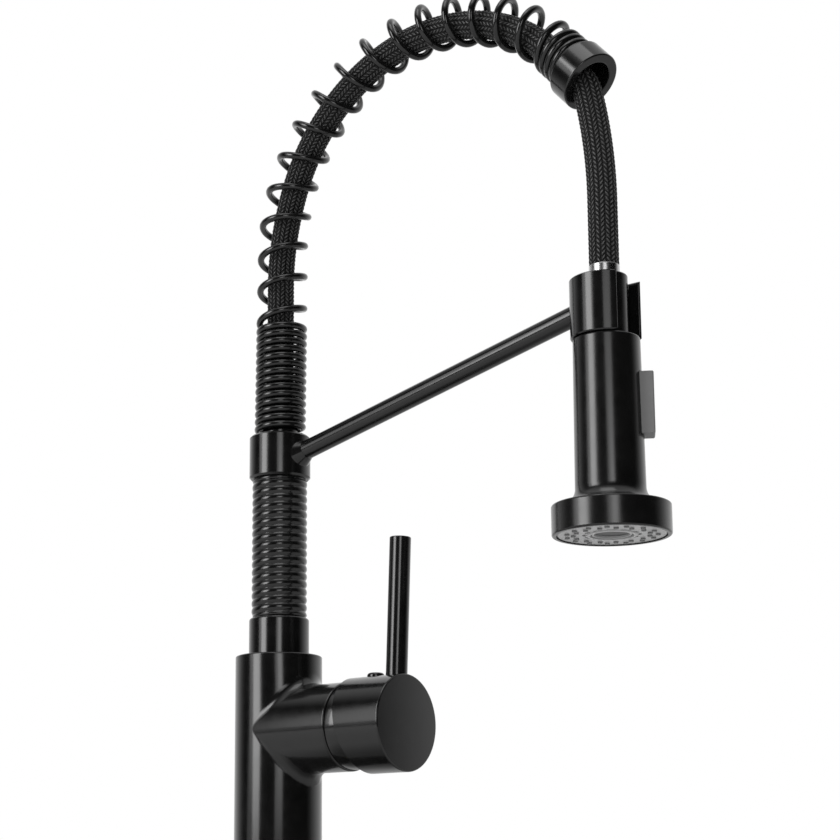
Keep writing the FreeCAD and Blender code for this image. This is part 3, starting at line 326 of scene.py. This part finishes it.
def crown(material, middle_z, radius):
    """Shade a flat disc in the XZ plane as the cap of a ball of this radius; the middle lies on x = 0."""
    tree = material.node_tree
    shader = tree.nodes["Principled BSDF"]
    place = add(tree, "ShaderNodeTexCoord")
    split = add(tree, "ShaderNodeSeparateXYZ")
    tree.links.new(place.outputs["Object"], split.inputs[0])
    up = maths(tree, "SUBTRACT", split.outputs["Z"], middle_z)
    up = maths(tree, "MULTIPLY", up, up)
    square = maths(tree, "MULTIPLY_ADD", split.outputs["X"], split.outputs["X"], up)
    peel = shader.inputs["Normal"].links[0].from_socket
    bump = raised(tree, shader, maths(tree, "MULTIPLY", square, -0.5 / radius), 1.0)
    tree.links.new(peel, bump.inputs["Normal"])
    return material


knob_black = crown(satin("knob_black", SATIN_ROUGH), KNOB_MIDDLE, CROWN_R)
print("satin black ready")

# %% [markdown]
# The parts that only the other views and the open joints show get turned brass and steel, a usual choice for
# them, and the hose's ferrule is chrome. Turned metal carries fine rings from the lathe, so its relief is a
# wave along the part's height and not a blotch.

# %% Metals
METAL_BLOTCHES, RING_WANDER = 60, 1.5


def lathe_finish(name, low, high, rough, rings_per_metre, relief):
    """Metal with the fine rings of turning."""
    material, tree, shader = finish_of(name, metallic=1.0)
    blotches = mottled(tree, METAL_BLOTCHES)
    tree.links.new(between(tree, blotches, low, high), shader.inputs["Base Color"])
    tree.links.new(span(tree, blotches, *rough), shader.inputs["Roughness"])
    place = add(tree, "ShaderNodeTexCoord")
    rings = add(tree, "ShaderNodeTexWave", wave_type="BANDS", bands_direction="Z")
    tree.links.new(place.outputs["Object"], rings.inputs["Vector"])
    rings.inputs["Scale"].default_value = rings_per_metre
    rings.inputs["Distortion"].default_value = RING_WANDER
    raised(tree, shader, rings.outputs["Fac"], relief)
    return material


brass = lathe_finish("brass", (0.55, 0.42, 0.19), (0.68, 0.54, 0.27), (0.28, 0.38), 900, 0.000004)
steel = lathe_finish("steel", 0.48, 0.60, (0.24, 0.36), 900, 0.000003)
chrome = lathe_finish("chrome", 0.45, 0.55, (0.2, 0.26), 300, 0.000002)
print("brass, steel and chrome ready")

# %% [markdown]
# Rubber is rough and takes hardly any reflection, moulded plastic keeps a soft sheen and polished ceramic a
# sharp one. The spray face is pale, its nozzles are grey rubber and the disc in its middle is darker.

# %% Rubber, plastic and ceramic
rubber = plain_finish("rubber", 0.012, 0.022, (0.65, 0.8), grain=1500, relief=0.00001)
nozzle_rubber = plain_finish("nozzle_rubber", 0.16, 0.2, (0.5, 0.6), grain=1500, relief=0.000006)
grey_plastic = plain_finish("grey_plastic", 0.125, 0.145, (0.42, 0.5), grain=1200, relief=0.000006)
dark_mesh = plain_finish("dark_mesh", 0.05, 0.07, (0.42, 0.5), grain=1200, relief=0.000006)
pale_plastic = plain_finish("pale_plastic", 0.40, 0.44, (0.3, 0.38), grain=900, relief=0.000004)
white_plastic = plain_finish("white_plastic", 0.68, 0.76, (0.4, 0.5), grain=900, relief=0.000006)
ceramic = plain_finish("ceramic", 0.84, 0.88, (0.1, 0.16), grain=600, relief=0.000001)
print("rubber, plastics and ceramic ready")

# %% [markdown]
# Every part from the CAD program now gets the finish that the record names for it. Three parts have one of
# their own. The parts with a braid are all replaced further down, so their finish never shows.

# %% Finishes on the CAD parts
FINISHES = {"satin_black": satin_black, "black_braid": satin_black, "chrome": chrome, "brass": brass,
            "steel": steel, "rubber": rubber, "nozzle_rubber": nozzle_rubber, "grey_plastic": grey_plastic,
            "pale_plastic": pale_plastic, "white_plastic": white_plastic, "ceramic": ceramic}
OWN_FINISHES = {"knob": knob_black, "spray_shell": shell_black, "aerator_disc": dark_mesh}
for part in frame["record"]["subparts"]:
    mesh = nodes[part["node"]].data
    mesh.materials.clear()
    mesh.materials.append(OWN_FINISHES.get(part["node"], FINISHES[part["material_slot"]]))

# %% [markdown]
# The next pieces are round things swept along a line, so one helper serves them all. It takes rings of
# points, joins each to the next with quads, closes the two ends and lays out a texture map with one
# direction round the piece and the other along it.

# %% Skin over rings
MM = 0.001
SHARP = math.radians(40)


def skin(name, rings, lengths=None, closed=False):
    """A mesh over a row of equal rings; lengths gives each ring's distance for the texture map."""
    count = len(rings[0])
    points = [point for ring in rings for point in ring]
    faces = []
    steps = range(len(rings)) if closed else range(len(rings) - 1)
    for i in steps:
        here, there = i * count, (i + 1) % len(rings) * count
        for k in range(count):
            after = (k + 1) % count
            faces.append((here + k, here + after, there + after, there + k))
    if not closed:
        faces.append(tuple(reversed(range(count))))
        faces.append(tuple(range(len(points) - count, len(points))))
    mesh = bpy.data.meshes.new(name)
    mesh.from_pydata(points, [], faces)
    if lengths:
        layer = mesh.uv_layers.new(name="round_and_along")
        for face in mesh.polygons[:(len(rings) - 1) * count]:
            row, k = divmod(face.index, count)
            corners = ((k, row), (k + 1, row), (k + 1, row + 1), (k, row + 1))
            for loop, (u, v) in zip(face.loop_indices, corners):
                layer.data[loop].uv = (u / count, lengths[v])
    mesh.shade_smooth()
    mesh.set_sharp_from_angle(angle=SHARP)
    piece = bpy.data.objects.new(name, mesh)
    scene.collection.objects.link(piece)
    return piece


def dress(piece, body, finish, slot, *replaced):
    """Finish a piece, set it on its body and hide the CAD parts it stands for."""
    piece.data.materials.append(finish)
    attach(piece, body)
    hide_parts(*replaced)
    print(f"{piece.name}: {len(piece.data.vertices)} points")


print("edges sharper than", round(math.degrees(SHARP)), "degrees stay crisp")

# %% [markdown]
# The riser is a tube with low, rounded ribs. Here they are one thread that climbs, so the radius depends on
# the height and on the angle together. That fault was found too late to mend: in the photograph the ribs are
# level on both edges, where a single thread would put them half a rib apart. Plain rings, as in the CAD part,
# fit that, and then the radius would depend on the height alone.

# %% Ribbed riser
RISER_FROM, RISER_TO = 170.0, 244.2
RIBS = 18
RIB_PITCH = (RISER_TO - RISER_FROM) / RIBS
VALLEY_R, RIB_DEPTH = 13.75, 0.75
ROWS_PER_RIB = 14
FADE = 1.5
RISER_FOOT, COLLAR_TOP = 155.0, 267.4
TAIL_R, BORE_R, SEAT_R = 9.45, 7.6, 12.58
GUIDE_R, GUIDE_LENGTH, GUIDE_EDGE = 9.4, 18.0, 0.8
ROUND = 96
ANGLES = [2 * math.pi * k / ROUND for k in range(ROUND)]


def rib_radius(angle, height):
    """Radius of the riser's wall; the thread fades out at both ends."""
    rise = (height - RISER_FROM) / RIB_PITCH - angle / (2 * math.pi)
    hump = 1 - (2 * (rise % 1) - 1) ** 2
    fade = min(1, (height - RISER_FROM) / FADE, (RISER_TO - height) / FADE)
    return VALLEY_R + RIB_DEPTH * hump * max(fade, 0)


def ring_at(height, radii):
    """A ring of points at a height, one for each radius."""
    return [(r * math.cos(angle) * MM, r * math.sin(angle) * MM, height * MM)
            for r, angle in zip(radii, ANGLES)]


def circle(radius, height):
    """A plain round ring."""
    return ring_at(height, [radius] * ROUND)


rib_rows = RIBS * ROWS_PER_RIB
guide_top = COLLAR_TOP + GUIDE_LENGTH
riser_rings = [circle(BORE_R, RISER_FOOT), circle(TAIL_R, RISER_FOOT), circle(TAIL_R, RISER_FROM)]
for row in range(rib_rows + 1):
    height = RISER_FROM + (RISER_TO - RISER_FROM) * row / rib_rows
    riser_rings.append(ring_at(height, [rib_radius(angle, height) for angle in ANGLES]))
riser_rings += [circle(SEAT_R, RISER_TO), circle(SEAT_R, COLLAR_TOP), circle(GUIDE_R, COLLAR_TOP),
                circle(GUIDE_R, guide_top - GUIDE_EDGE), circle(GUIDE_R - GUIDE_EDGE, guide_top),
                circle(BORE_R, guide_top)]
dress(skin("ribbed_riser", riser_rings, closed=True), "spout", satin_black, "satin_black", "riser_tube")

# %% [markdown]
# Spring and hose lie in the middle plane, each on its own line of straight and round stretches. The spring
# leans a little, goes round the arch and down into the end ring. One function gives the place, the
# direction and the inward normal at any distance along such a line, so that a coil or a tube can be laid
# on it.

# %% The spring's line
REACH = 201.9
ARCH_TURN = math.radians(138.5)
SPRING_LEAN = math.radians(0.77)
SPRING_RISE = 102.8
RING_RUN, RING_OFFSET, RING_LENGTH = 31.1, 4.25, 13.0
spring_across = REACH - RING_OFFSET - RING_RUN * math.sin(ARCH_TURN) - SPRING_RISE * math.sin(SPRING_LEAN)
arch_r = spring_across / (math.cos(SPRING_LEAN) - math.cos(ARCH_TURN))
arch_y = -SPRING_RISE * math.sin(SPRING_LEAN) - arch_r * math.cos(SPRING_LEAN)
arch_z = COLLAR_TOP + SPRING_RISE * math.cos(SPRING_LEAN) - arch_r * math.sin(SPRING_LEAN)
SPRING_LINE = [(SPRING_RISE, 0), (arch_r * (ARCH_TURN - SPRING_LEAN), ARCH_TURN - SPRING_LEAN), (RING_RUN, 0)]


def along(line, distance, heading=0.0):
    """Place, direction and inward normal on a line of (length, turn) stretches, from the collar's top."""
    place = Vector((0, 0, COLLAR_TOP))
    for number, (length, turn) in enumerate(line):
        step = distance if number == len(line) - 1 else min(distance, length)
        bend = turn * step / length
        chord = step * math.sin(bend / 2) / (bend / 2) if abs(bend) > 1e-9 else step
        middle = heading + bend / 2
        place = place + Vector((0, -math.sin(middle), math.cos(middle))) * chord
        heading += bend
        distance -= step
    ahead = Vector((0, -math.sin(heading), math.cos(heading)))
    return place, ahead, Vector((0, -ahead.z, ahead.y))


print(f"arch of {arch_r:.1f} mm radius, its top at {arch_z + arch_r:.0f} mm")

# %% [markdown]
# The spring is wound tight on the collar, opens over the arch and closes again against the end ring. The
# number of turns and the second open pitch were read from the photograph, and the first pitch is what the
# length leaves. The coil gets slightly smaller towards the end ring, and there the wire runs out in a tapered
# tail that fills the wedge before the ring. That tail isn't seen in the photograph: it is a guess.

# %% Wound spring
WIRE_R, COIL_R, WIRE_SIDES = 1.85, 13.7, 14
COIL_GAP, END_GAP = 0.45, 0.05
FOOT_TURNS, WIDE_TURNS, NARROW_TURNS, END_TURNS = 14.4, 10.6, 5.7, 3.4
SECOND_OPEN = 16.8
FIRST_ANGLE = math.radians(60)
TAPER, TAPER_FROM = 0.4, 0.2
TAIL = 0.95
STEPS_PER_TURN = 40
TIGHT = 2 * WIRE_R + COIL_GAP
coil_length = sum(length for length, _ in SPRING_LINE) - RING_LENGTH - 2 * (WIRE_R + END_GAP)
tight_length = (FOOT_TURNS + END_TURNS) * TIGHT
first_open = (coil_length - tight_length - NARROW_TURNS * SECOND_OPEN) / WIDE_TURNS
WINDING = [(FOOT_TURNS, TIGHT), (WIDE_TURNS, first_open), (NARROW_TURNS, SECOND_OPEN), (END_TURNS, TIGHT)]
TURNS = sum(count for count, _ in WINDING)


def wire_radius(turns):
    """The wire's own radius, and in the tail what the wedge before the ring leaves."""
    wedge = (TURNS + 1 - turns) * TIGHT
    return min(WIRE_R, wedge / 2)


def on_coil(turns):
    """Middle of the wire after a number of turns."""
    distance = WIRE_R + END_GAP
    left = turns
    for count, pitch in WINDING:
        here = min(left, count)
        distance += here * pitch
        left -= here
    distance += WIRE_R - wire_radius(turns)
    place, _, inward = along(SPRING_LINE, distance, SPRING_LEAN)
    ease = max(0, distance / coil_length - TAPER_FROM) / (1 - TAPER_FROM) * TAPER
    angle = FIRST_ANGLE + 2 * math.pi * turns
    out = COIL_R - wire_radius(turns) - ease
    spoke = (inward * math.cos(angle) + Vector((1, 0, 0)) * math.sin(angle)) * out
    return (place + spoke - inward * ease) * MM


def round_bar(centres, radii, sides):
    """Rings round a line of points, one radius each, carried along without twist."""
    spokes = [2 * math.pi * k / sides for k in range(sides)]
    rings = []
    normal = (centres[1] - centres[0]).normalized().orthogonal()
    for i, (centre, r) in enumerate(zip(centres, radii)):
        ahead = (centres[min(i + 1, len(centres) - 1)] - centres[max(i - 1, 0)]).normalized()
        normal = (normal - ahead * normal.dot(ahead)).normalized()
        other = ahead.cross(normal)
        rings.append([centre + (normal * math.cos(a) + other * math.sin(a)) * r for a in spokes])
    return rings


wire_steps = round((TURNS + TAIL) * STEPS_PER_TURN)
wound = [(TURNS + TAIL) * k / wire_steps for k in range(wire_steps + 1)]
wire_radii = [wire_radius(turns) * MM for turns in wound]
wire = round_bar([on_coil(turns) for turns in wound], wire_radii, WIRE_SIDES)
dress(skin("wound_spring", wire), "spout", satin_black, "satin_black", "spring")
print(f"{TURNS:.1f} turns, open pitch {first_open:.1f} mm and {SECOND_OPEN} mm")

# %% [markdown]
# The hose is sheathed in a black braid. The photograph doesn't show how it is woven, only how it looks:
# columns of short slanted stitches that lean left and right in turn. The stitches are in the hose's mesh, a
# little further down. The material repeats the same pattern, from the map round and along the hose: it
# deepens the relief, paints the gaps near black as painted shade, polishes the crests and adds filaments,
# which are too fine to model.

# %% Black braid
COLUMNS = 18
STITCH = 0.0023
LEAN = 1.1
END_POWER = 3
FILAMENTS, FILAMENT_SHARE = 38.0, 0.05
BRAID_DEPTH = 0.0006
CREST_POWER = 2.5
# Painted shade: the colour runs from near black in the gaps between stitches to dark grey on the crests.
PAINTED_GAP_SHADE, CREST_COLOUR = 0.0006, 0.05
GAP_ROUGH, CREST_ROUGH = 0.75, 0.24


def braid_finish():
    """Black braid, for a piece mapped round and along."""
    material, tree, shader = finish_of("black_braid")
    place = add(tree, "ShaderNodeUVMap")
    place.uv_map = "round_and_along"
    split = add(tree, "ShaderNodeSeparateXYZ")
    tree.links.new(place.outputs[0], split.inputs[0])
    column = maths(tree, "MULTIPLY", split.outputs["X"], COLUMNS)
    number = maths(tree, "FLOOR", column)
    side = maths(tree, "SUBTRACT", maths(tree, "FRACT", column), 0.5)
    odd = maths(tree, "MODULO", number, 2.0)
    lean = maths(tree, "MULTIPLY_ADD", odd, -2.0, 1.0)
    slant = maths(tree, "MULTIPLY", side, lean)
    row = maths(tree, "DIVIDE", split.outputs["Y"], STITCH)
    row = maths(tree, "ADD", row, maths(tree, "MULTIPLY", slant, LEAN))
    row = maths(tree, "ADD", row, maths(tree, "MULTIPLY", number, 0.5))
    across = maths(tree, "SUBTRACT", maths(tree, "FRACT", row), 0.5)
    square = maths(tree, "MULTIPLY", across, across)
    hump = maths(tree, "SUBTRACT", 1.0, maths(tree, "MULTIPLY", square, 4.0))
    ends = maths(tree, "POWER", maths(tree, "ABSOLUTE", maths(tree, "MULTIPLY", side, 2.0)), END_POWER)
    stitch = maths(tree, "MULTIPLY", hump, maths(tree, "SUBTRACT", 1.0, ends))
    filaments = maths(tree, "SINE", maths(tree, "MULTIPLY", across, FILAMENTS))
    height = maths(tree, "MULTIPLY_ADD", filaments, FILAMENT_SHARE, stitch)
    raised(tree, shader, height, BRAID_DEPTH)
    crest = maths(tree, "POWER", stitch, CREST_POWER)
    # Painted shade: the gaps between the stitches get a near-black colour, and the crests a dark grey.
    tree.links.new(between(tree, crest, PAINTED_GAP_SHADE, CREST_COLOUR), shader.inputs["Base Color"])
    tree.links.new(span(tree, crest, GAP_ROUGH, CREST_ROUGH), shader.inputs["Roughness"])
    return material


def weave(around, distance):
    """Height from 0 to 1 of the stitches at a share of the way round and a distance in metres."""
    number, side = divmod(around * COLUMNS, 1)
    row = distance / STITCH + (side - 0.5) * (1 - 2 * (number % 2)) * LEAN + number / 2
    across = row % 1 - 0.5
    return (1 - 4 * across ** 2) * (1 - abs(2 * side - 1) ** END_POWER)


black_braid = braid_finish()
print(COLUMNS, "columns of stitches,", STITCH / MM, "mm long each")

# %% [markdown]
# The hose rises straight, then lies against the inside of the spring over the arch. It bends over the rim
# of the end ring and hangs straight into the spray head. The last straight stretch is a piece of its own; on
# the real mixer it grows when the head is pulled down out of its clip.

# %% Braided hose
HOSE_ROUND = 108
VALLEY, BULGE = 6.65, 0.55
SHOWS_FROM, BRAID_STEP = 50.0, 0.46
HIDDEN_ROWS, DROP_ROWS = 60, 86
HOSE_FOOT, FERRULE_TOP = 136.0, 318.52
HOSE_INSIDE = 2.2
ENTRY_RATIO = 1.475
RIM_BEND_R, DROP_BEND_R = 24.0, 248.0
RIM_TURN = math.radians(28.7)
hose_arch_r = arch_r - HOSE_INSIDE
entry_r = ENTRY_RATIO * arch_r
entry_rise = math.sqrt((entry_r - hose_arch_r) ** 2 - (entry_r + arch_y) ** 2)
entry_turn = math.atan2(entry_rise, entry_r + arch_y)
rim_heading = ARCH_TURN + RIM_TURN
drop_turn = math.pi - rim_heading
bends_across = (RIM_BEND_R * (math.cos(ARCH_TURN) - math.cos(rim_heading))
                + DROP_BEND_R * (math.cos(rim_heading) + 1))
hose_run = (REACH + arch_y + hose_arch_r * math.cos(ARCH_TURN) - bends_across) / math.sin(ARCH_TURN)
HOSE_LINE = [(arch_z - entry_rise - COLLAR_TOP, 0), (entry_r * entry_turn, entry_turn),
             (hose_arch_r * (ARCH_TURN - entry_turn), ARCH_TURN - entry_turn), (hose_run, 0),
             (RIM_BEND_R * RIM_TURN, RIM_TURN), (DROP_BEND_R * drop_turn, drop_turn)]
whole = sum(length for length, _ in HOSE_LINE)
hang_z = along(HOSE_LINE, whole)[0].z


def hose_skin(name, places, distances):
    """A tube of the hose's size through the places, mapped round and along."""
    shares = [k / HOSE_ROUND for k in range(HOSE_ROUND)]
    side = Vector((1, 0, 0))
    rings = []
    for (place, ahead), distance in zip(places, distances):
        other = ahead.cross(side)
        ring = []
        for share in shares:
            angle = 2 * math.pi * share
            spoke = side * math.cos(angle) + other * math.sin(angle)
            ring.append((place + spoke * (VALLEY + BULGE * weave(share, distance * MM))) * MM)
        rings.append(ring)
    return skin(name, rings, lengths=[d * MM for d in distances])


start = HOSE_FOOT - COLLAR_TOP
marks = [start + (SHOWS_FROM - start) * k / HIDDEN_ROWS for k in range(HIDDEN_ROWS)]
shown_rows = round((whole - SHOWS_FROM) / BRAID_STEP)
marks += [SHOWS_FROM + (whole - SHOWS_FROM) * k / shown_rows for k in range(shown_rows + 1)]
arch_hose = hose_skin("braided_hose", [along(HOSE_LINE, d)[:2] for d in marks], marks)
dress(arch_hose, "spout", black_braid, "black_braid", "hose_arch")

drop = hang_z - FERRULE_TOP
drops = [drop * k / DROP_ROWS for k in range(DROP_ROWS + 1)]
hanging = [(Vector((0, -REACH, hang_z - d)), Vector((0, 0, -1))) for d in drops]
last_hose = hose_skin("hanging_hose", hanging, [whole + d for d in drops])
last_hose.data.materials.append(black_braid)
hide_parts("hose_drop")
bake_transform(last_hose)
print(f"hose {whole - start:.0f} mm to the last straight, then {drop:.0f} mm")
